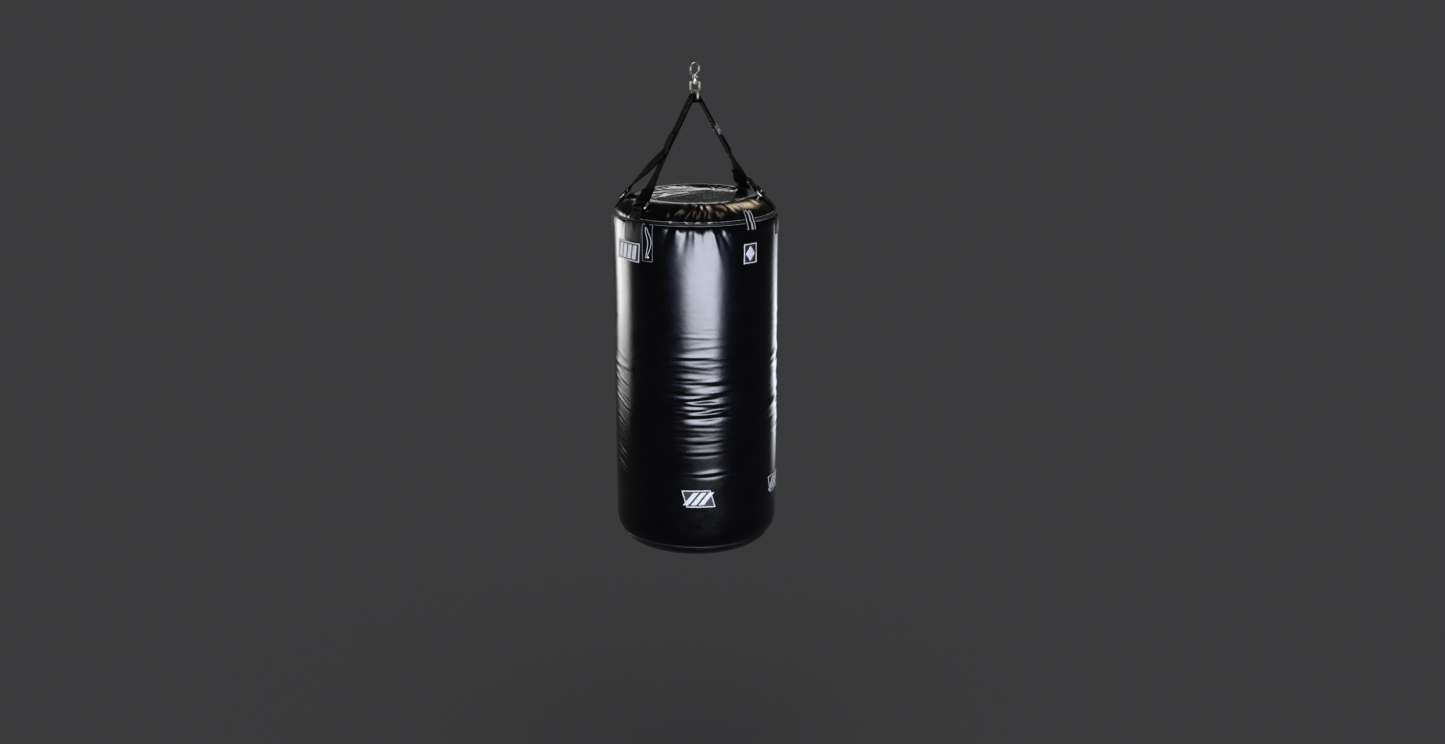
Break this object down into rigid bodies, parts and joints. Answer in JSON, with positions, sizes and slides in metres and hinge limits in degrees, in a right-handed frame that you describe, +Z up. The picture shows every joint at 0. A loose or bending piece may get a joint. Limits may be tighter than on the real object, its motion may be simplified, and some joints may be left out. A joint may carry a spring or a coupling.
{
  "type": "hanging heavy bag",
  "caption": "Cylindrical padded vinyl punching bag with rounded ends, hung by forked webbing straps from a strap ring and a swivelling snap hook.",
  "frame": {"origin": "the point inside the snap hook's crown that rests on the support", "axes": "+Z up along the bag's axis, the forked straps spread towards -X and +X, the front is -Y"},
  "size_m": [0.45, 0.4499, 1.3425],
  "materials": {
    "body_vinyl": "gloss",
    "shoulder_vinyl": "gloss",
    "panel_vinyl": "satin",
    "welt": "gloss",
    "foam": "matte",
    "canvas": "matte",
    "fill": "matte",
    "mark": "satin",
    "nickel": "polished",
    "spring_steel": "satin",
    "ring_steel": "polished",
    "black_steel": "polished",
    "webbing": "matte"
  },
  "bodies": {
    "snap_hook": {"hook_body": "nickel", "gate_pin": "nickel", "gate_spring": "spring_steel", "swivel_washer": "nickel"},
    "gate": {"hook_gate": "nickel"},
    "swivel": {"swivel_bow": "nickel"},
    "ring": {"strap_ring": "nickel"},
    "bag": {"anchor_patch_left_front": "panel_vinyl", "anchor_patch_left_rear": "panel_vinyl", "anchor_patch_right_front": "panel_vinyl", "anchor_patch_right_rear": "panel_vinyl", "anchor_ring_left_front": "ring_steel", "anchor_ring_left_rear": "ring_steel", "anchor_ring_right_front": "ring_steel", "anchor_ring_right_rear": "ring_steel", "anchor_tab_left_front": "webbing", "anchor_tab_left_rear": "webbing", "anchor_tab_right_front": "webbing", "anchor_tab_right_rear": "webbing", "bottom_panel": "panel_vinyl", "closing_tab": "webbing", "crown_core": "webbing", "crown_keeper": "webbing", "crown_sleeve": "webbing", "foam_liner": "foam", "foot_welt": "welt", "fork_patch_left": "webbing", "fork_patch_right": "webbing", "inner_bag": "canvas", "leg_left_front": "webbing", "leg_left_rear": "webbing", "leg_right_front": "webbing", "leg_right_rear": "webbing", "mark_lower_front": "mark", "mark_lower_right": "mark", "mark_upper_left": "mark", "mark_upper_right": "mark", "shell_body": "body_vinyl", "shoulder_band": "shoulder_vinyl", "slide_buckle": "black_steel", "stitched_tab": "webbing", "textile_fill": "fill", "top_panel": "panel_vinyl", "top_welt": "welt", "upper_strap_left": "webbing", "upper_strap_right": "webbing"}
  },
  "joints": [
    {"name": "gate_hinge", "type": "hinge", "parent": "snap_hook", "child": "gate", "pos_m": [-0.0115, 0, -0.0255], "axis": [0, 1, 0], "range_deg": [0, 25], "stiffness_Nm_per_rad": 0.05, "springref_deg": -22.92},
    {"name": "swivel_spin", "type": "hinge", "parent": "snap_hook", "child": "swivel", "pos_m": [0, 0, -0.045], "axis": [0, 0, 1], "continuous": true},
    {"name": "ring_swing", "type": "hinge", "parent": "swivel", "child": "ring", "pos_m": [0, 0, -0.074], "axis": [1, 0, 0], "range_deg": [-35, 35]},
    {"name": "bag_swing", "type": "hinge", "parent": "ring", "child": "bag", "pos_m": [0, 0, -0.0915], "axis": [0, 1, 0], "range_deg": [-35, 35]}
  ]
}
